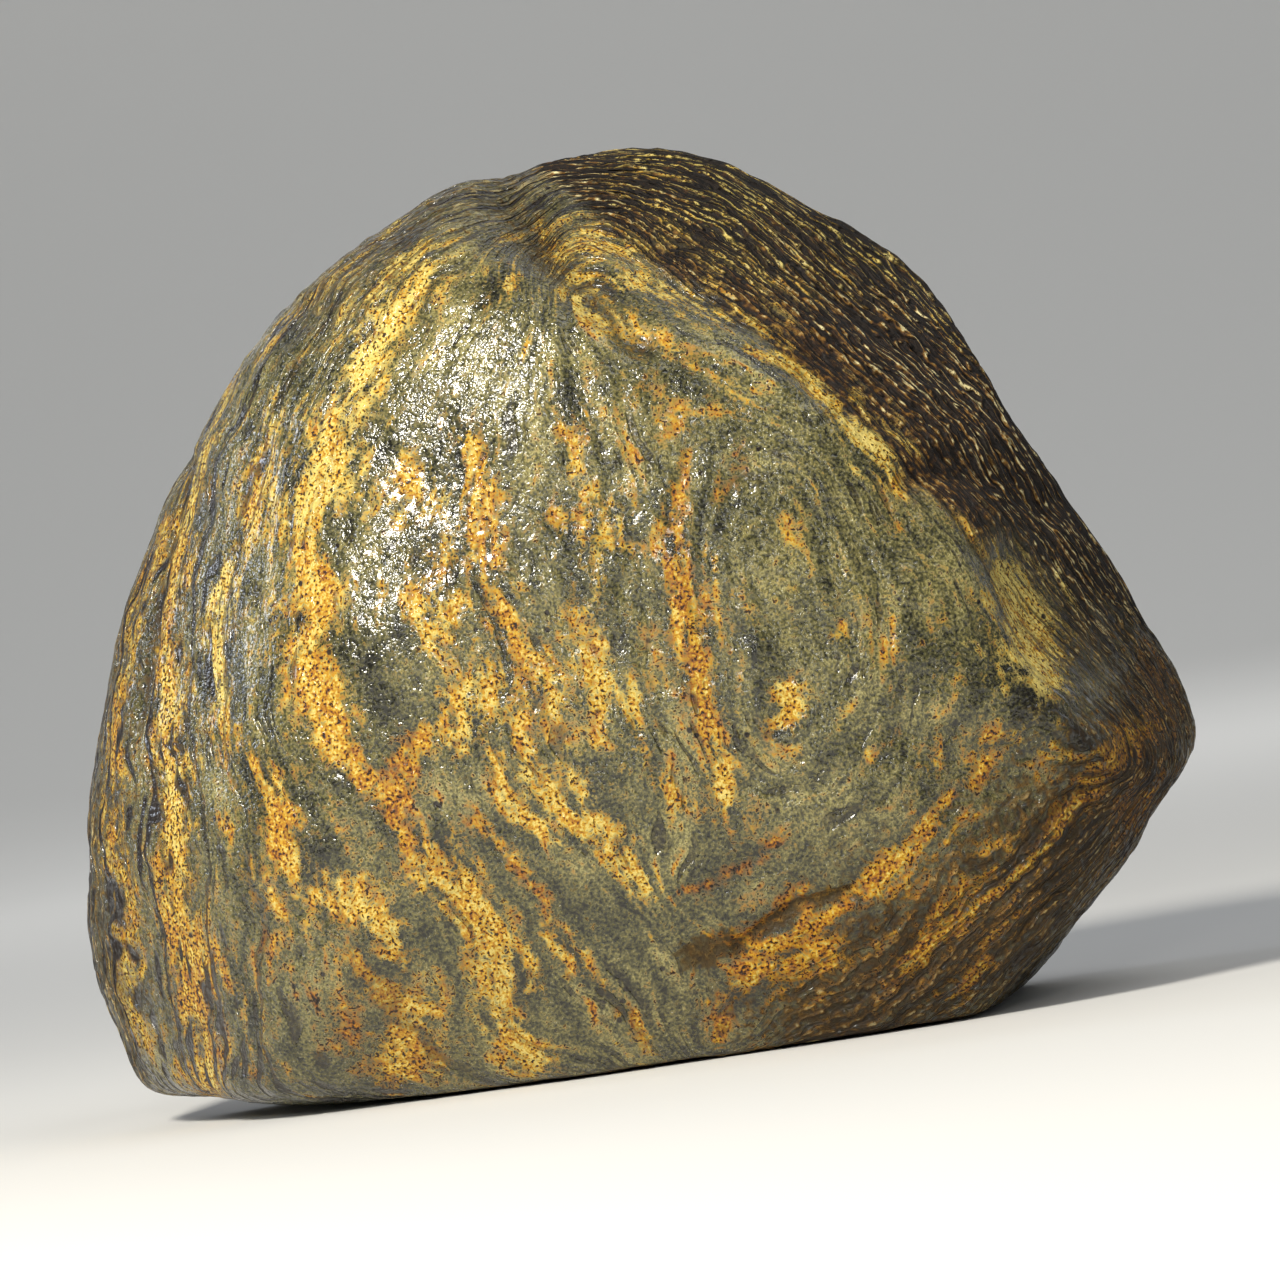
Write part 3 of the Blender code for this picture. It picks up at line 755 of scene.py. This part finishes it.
# Weathered banded iron stone: silica and iron oxide in thin layers, ground smooth by water, so
# the eye gets a hard half-glossy skin with broken glints, grey-green layers, ochre ones that are
# duller and grainy, and a dark brown flank of broken layer edges.
def weatheredBandedIronStone():
    material = bpy.data.materials.new("weathered banded iron stone")
    material.use_nodes = True
    tree = material.node_tree
    tree.nodes.clear()
    f = bandedStone["finish"]
    math, ease = "ShaderNodeMath", "ShaderNodeMapRange"
    sumUp, scaled, most = {"operation": "MULTIPLY_ADD"}, {"operation": "MULTIPLY"}, {"operation": "MAXIMUM"}
    less, toAndFro = {"operation": "SUBTRACT"}, {"operation": "PINGPONG"}
    smooth = {"interpolation_type": "SMOOTHSTEP"}
    place = addNode(tree, "ShaderNodeTexCoord", {}, {}, "Object")
    value = {"one": 1.0}
    for name in ("level", "ochre", "rust", "stain", "rough", "edgeOn", "streak", "blotch"):
        value[name] = addNode(tree, "ShaderNodeAttribute", {"attribute_name": name}, {}, "Fac")

    # noise drawn out along the layers: its fourth axis runs with the layers' level
    for name in ("thread", "lamina"):
        length, width = f[name]
        run = addNode(tree, math, scaled, {0: value["level"], 1: length / width})
        value[name] = addNode(tree, "ShaderNodeTexNoise", {"noise_dimensions": "4D"}, {
            "Vector": place, "W": run, "Scale": 1 / (length * mm), "Detail": 1.0,
            "Roughness": f["drawnRoughness"]})
    for name, detail in (("grain", 0.0), ("speck", 1.0)):
        value[name] = addNode(tree, "ShaderNodeTexNoise", {}, {
            "Vector": place, "Scale": 1 / (f[name] * mm), "Detail": detail})
    for name, pitch in (("fineLevel", f["finePitch"]), ("crackLevel", f["crackPitch"])):
        value[name] = addNode(tree, math, scaled, {0: value["level"], 1: 1 / (pitch * mm)})

    # the sums, each a chain of multiply-adds
    for name, (start, shares) in f["sums"].items():
        total = value.get(start, start)
        for pattern, share in shares.items():
            total = addNode(tree, math, sumUp, {0: value[pattern], 1: share, 2: total})
        value[name] = total

    # waves of the level, bent by the noise: fine ridges where layers break off, and long cracks
    for name in ("ridgeWave", "crackWave"):
        value[name] = addNode(tree, math, toAndFro, {0: value[name], 1: 0.5})
    value["pits"] = addNode(tree, "ShaderNodeTexVoronoi", {}, {
        "Vector": place, "Scale": 1 / (f["pitSpacing"] * mm)})
    eased = {}
    for name, source in (
            ("crest", "ridgeWave"), ("stainAndShadeEnds", "stained"), ("ochreEnds", "ochreLaid"),
            ("seamEnds", "lamina"), ("seamPatches", "blotch"), ("crackEnds", "crackWave"),
            ("pockEnds", "pockTone"), ("pitEnds", "pits"), ("pitPatches", "blotch")):
        start, end, height = f[name]
        eased[name] = addNode(tree, ease, smooth, {
            "Value": value[source], "From Min": start, "From Max": end, "To Max": height})
    edgeOn, rough, stain = value["edgeOn"], value["rough"], eased["stainAndShadeEnds"]
    ridged = addNode(tree, math, less, {0: eased["crest"], 1: 0.5})
    ridged = addNode(tree, math, scaled, {0: ridged, 1: edgeOn})

    # the laid ochre thins out into grains, and on the flank keeps to the ridges, leaving the valleys dark,
    # partly as painted shade
    valley = addNode(tree, math, sumUp, {0: edgeOn, 1: -0.5, 2: ridged})
    valley = addNode(tree, math, scaled, {0: valley, 1: rough})
    ochreMask = addNode(tree, math, sumUp, {0: valley, 1: eased["ochreEnds"], 2: eased["ochreEnds"]})

    # the rough flank and back are dark brown between the layers' light edges, lighter on the crests and
    # darker in the valleys, partly as painted highlight and shade; then each tone's ramp of colours
    flankTone = addNode(tree, math, sumUp, {0: ridged, 1: f["flankCrestHighlightAndShade"], 2: value["flankTone"]})
    ramps = {}
    for name, tone in (("greys", value["greyTone"]), ("ochres", value["ochreTone"]), ("flanks", flankTone)):
        ramps[name] = addNode(tree, "ShaderNodeValToRGB", {}, {0: tone})
        elements = ramps[name].node.color_ramp.elements
        for spot, code in f[name][2:]:
            elements.new(spot)
        for element, (spot, code) in zip(elements, f[name]):
            element.position = spot
            element.color = hexColour(code)
    bare = addNode(tree, math, sumUp, {0: ochreMask, 1: f["flankOchreHides"], 2: 1.0})
    dark = addNode(tree, math, scaled, {0: rough, 1: bare})

    # dark seams between the layers, on the steep sides and in patches, and small pits in the ochre
    shown = addNode(tree, math, most, {0: eased["seamPatches"], 1: edgeOn})
    seam = addNode(tree, math, scaled, {0: eased["seamEnds"], 1: shown})
    crack = addNode(tree, math, scaled, {0: eased["crackEnds"], 1: edgeOn})
    seam = addNode(tree, math, most, {0: seam, 1: crack})
    few, many = f["pocked"]
    pocked = addNode(tree, ease, {}, {"Value": ochreMask, "To Min": few, "To Max": many})
    pock = addNode(tree, math, scaled, {0: eased["pockEnds"], 1: pocked})
    hole = addNode(tree, math, most, {0: seam, 1: pock})
    pits = addNode(tree, math, scaled, {0: eased["pitEnds"], 1: eased["pitPatches"]})
    black = addNode(tree, math, most, {0: hole, 1: pits})

    # the marks' brown goes on first: a real stain, and painted shade on the left edge, the nose, the lower
    # right and the cracks
    colour = ramps["greys"]
    for share, cover in (
            (stain, hexColour(f["stain"])), (ochreMask, ramps["ochres"]), (dark, ramps["flanks"]),
            (black, hexColour(f["pit"]))):
        inputs = {0: share, 6: colour, 7: cover}
        colour = addNode(tree, "ShaderNodeMix", {"data_type": "RGBA"}, inputs, 2)

    # ochre, broken, stained and shade-painted places are dull, the worn grey layers polished and varnished
    low, high = f["roughness"]
    start, end = f["dullEnds"]
    dull = addNode(tree, math, most, {0: ochreMask, 1: rough})
    dull = addNode(tree, math, most, {0: dull, 1: stain})
    dull = addNode(tree, math, sumUp, {0: value["grain"], 1: f["dullGrain"], 2: dull})
    gloss = addNode(tree, ease, {}, {
        "Value": dull, "From Min": start, "From Max": end, "To Min": low, "To Max": high})
    loss = addNode(tree, math, sumUp, {0: ochreMask, 1: f["varnishLoss"]["ochreMask"], 2: rough})
    loss = addNode(tree, math, sumUp, {0: stain, 1: f["varnishLoss"]["stain"], 2: loss})
    varnish = addNode(tree, ease, {}, {"Value": loss, "To Min": f["varnish"], "To Max": 0.0})

    # relief too fine for the mesh: threads, grains, pits, worn-back ochre, and ridges on the flank
    rise = addNode(tree, math, sumUp, {0: hole, 1: f["holeRise"], 2: value["fineRise"]})
    rise = addNode(tree, math, sumUp, {0: ochreMask, 1: f["ochreRise"], 2: rise})
    high, low = f["ridgeRise"]
    broken = addNode(tree, math, sumUp, {0: rough, 1: high, 2: low})
    rise = addNode(tree, math, sumUp, {0: ridged, 1: broken, 2: rise})
    broken = addNode(tree, math, scaled, {0: value["lamina"], 1: rough})
    rise = addNode(tree, math, sumUp, {0: broken, 1: f["laminaRise"], 2: rise})
    bump = addNode(tree, "ShaderNodeBump", {}, {
        "Strength": 1.0, "Distance": f["bumpHeight"] * mm, "Height": rise})
    shader = addNode(tree, "ShaderNodeBsdfPrincipled", {}, {
        "Base Color": colour, "Roughness": gloss, "Normal": bump, "IOR": 1.54, "Specular IOR Level": 0.35,
        "Coat Weight": varnish, "Coat Roughness": 0.1, "Coat Normal": bump})
    addNode(tree, "ShaderNodeOutputMaterial", {}, {"Surface": shader})
    return material


buildStone(weatheredBandedIronStone())

studio = {
    "floorColour": "e4e3df",
    "floorFlat": 1.3, "floorEdge": 2.6, "floorRise": 0.8,   # metres
    "floorRings": 40, "floorSteps": 96,
    # place and aim in metres, size, colour, watts
    "lights": {
        "key light": ((-0.37, -0.59, 0.56), (0.0, 0.0, 0.055), 0.20, "fffaf0", 8.7),
        "front light": ((-0.05, -1.15, 0.30), (0.0, 0.0, 0.055), 0.12, "ffffff", 1.3),
        "left light": ((-0.80, 0.24, 0.38), (0.0, 0.0, 0.055), 0.24, "e2ebfa", 1.3),
        "right light": ((0.50, -0.30, 0.90), (0.0, 0.0, 0.055), 0.70, "ffffff", 2.3),
        "back light": ((0.15, 1.00, 0.80), (0.0, 0.0, 0.055), 1.60, "ffffff", 2.6),
        "backdrop light": ((0.0, 0.90, 1.20), (0.0, 2.40, 0.40), 0.80, "ffffff", 8.0),
    },
    "skyColour": "d6e0ee", "skyStrength": 0.15,
}


# Matte painted board, sprayed: even and pale, with no gloss.
def mattePaintedBoard():
    material = bpy.data.materials.new("matte painted board")
    material.use_nodes = True
    shader = material.node_tree.nodes["Principled BSDF"]
    shader.inputs["Base Color"].default_value = hexColour(studio["floorColour"])
    shader.inputs["Roughness"].default_value = 0.9
    return material


# A round sweep: radius and height along a profile that is flat and then a quarter ellipse,
# carried round the upright axis.
def buildSweep(material):
    rings, steps = studio["floorRings"], studio["floorSteps"]
    t = np.linspace(0, 1, rings)[1:]
    bend = np.clip(2 * t - 1, 0, 1) * np.pi / 2
    radius = np.minimum(2 * t, 1) * studio["floorFlat"]
    radius = radius + (studio["floorEdge"] - studio["floorFlat"]) * np.sin(bend)
    height = studio["floorRise"] * (1 - np.cos(bend))
    turn = np.arange(steps) * 2 * np.pi / steps
    across, height = radius[:, None], height[:, None]
    points = np.stack([across * np.cos(turn), across * np.sin(turn), height + 0 * turn], -1)
    points = np.concatenate([points.reshape(-1, 3), [[0, 0, 0]]])
    grid = np.arange((rings - 1) * steps).reshape(rings - 1, steps)
    beside = np.roll(grid, -1, axis=1)
    quads = np.stack([grid[:-1], grid[1:], beside[1:], beside[:-1]], -1).reshape(-1, 4)
    middle = np.stack([np.full(steps, len(points) - 1), grid[0], beside[0]], -1)
    sweep = meshObject("floorSweep", points, quads.tolist() + middle.tolist(), material, {})


# A round lamp that shines from its place to its aim, and isn't seen itself.
def addSoftLight(name, place, aim, size, colour, power):
    data = bpy.data.lights.new(name, "AREA")
    data.shape = "DISK"
    data.size = size
    data.energy = power
    data.color = hexColour(colour)[:3]
    light = bpy.data.objects.new(name, data)
    bpy.context.scene.collection.objects.link(light)
    light.location = place
    light.rotation_euler = (Vector(aim) - light.location).to_track_quat("-Z", "Y").to_euler()
    light.visible_camera = False


buildSweep(mattePaintedBoard())
for name, settings in studio["lights"].items():
    addSoftLight(name, *settings)

world = bpy.data.worlds.new("soft sky")
world.use_nodes = True
world.node_tree.nodes["Background"].inputs["Color"].default_value = hexColour(studio["skyColour"])
world.node_tree.nodes["Background"].inputs["Strength"].default_value = studio["skyStrength"]
bpy.context.scene.world = world
bpy.context.scene.view_settings.view_transform = "Standard"

# the camera is level, looks along +Y, and leans as the photograph does
cameraData = bpy.data.cameras.new("camera")
cameraData.sensor_width = 36.0
cameraData.lens = cameraData.sensor_width / 2 * photoView["distance"] / photoView["halfView"]
cameraData.clip_end = 20.0
camera = bpy.data.objects.new("camera", cameraData)
bpy.context.scene.collection.objects.link(camera)
aimX, aimZ = photoView["aim"]
stand = Matrix.Translation(Vector((aimX, -photoView["distance"], aimZ)) * mm)
lean = Matrix.Rotation(-np.radians(photoView["lean"]), 4, "Z")
camera.matrix_world = stand @ Matrix.Rotation(np.pi / 2, 4, "X") @ lean
bpy.context.scene.camera = camera
print("studio ready")
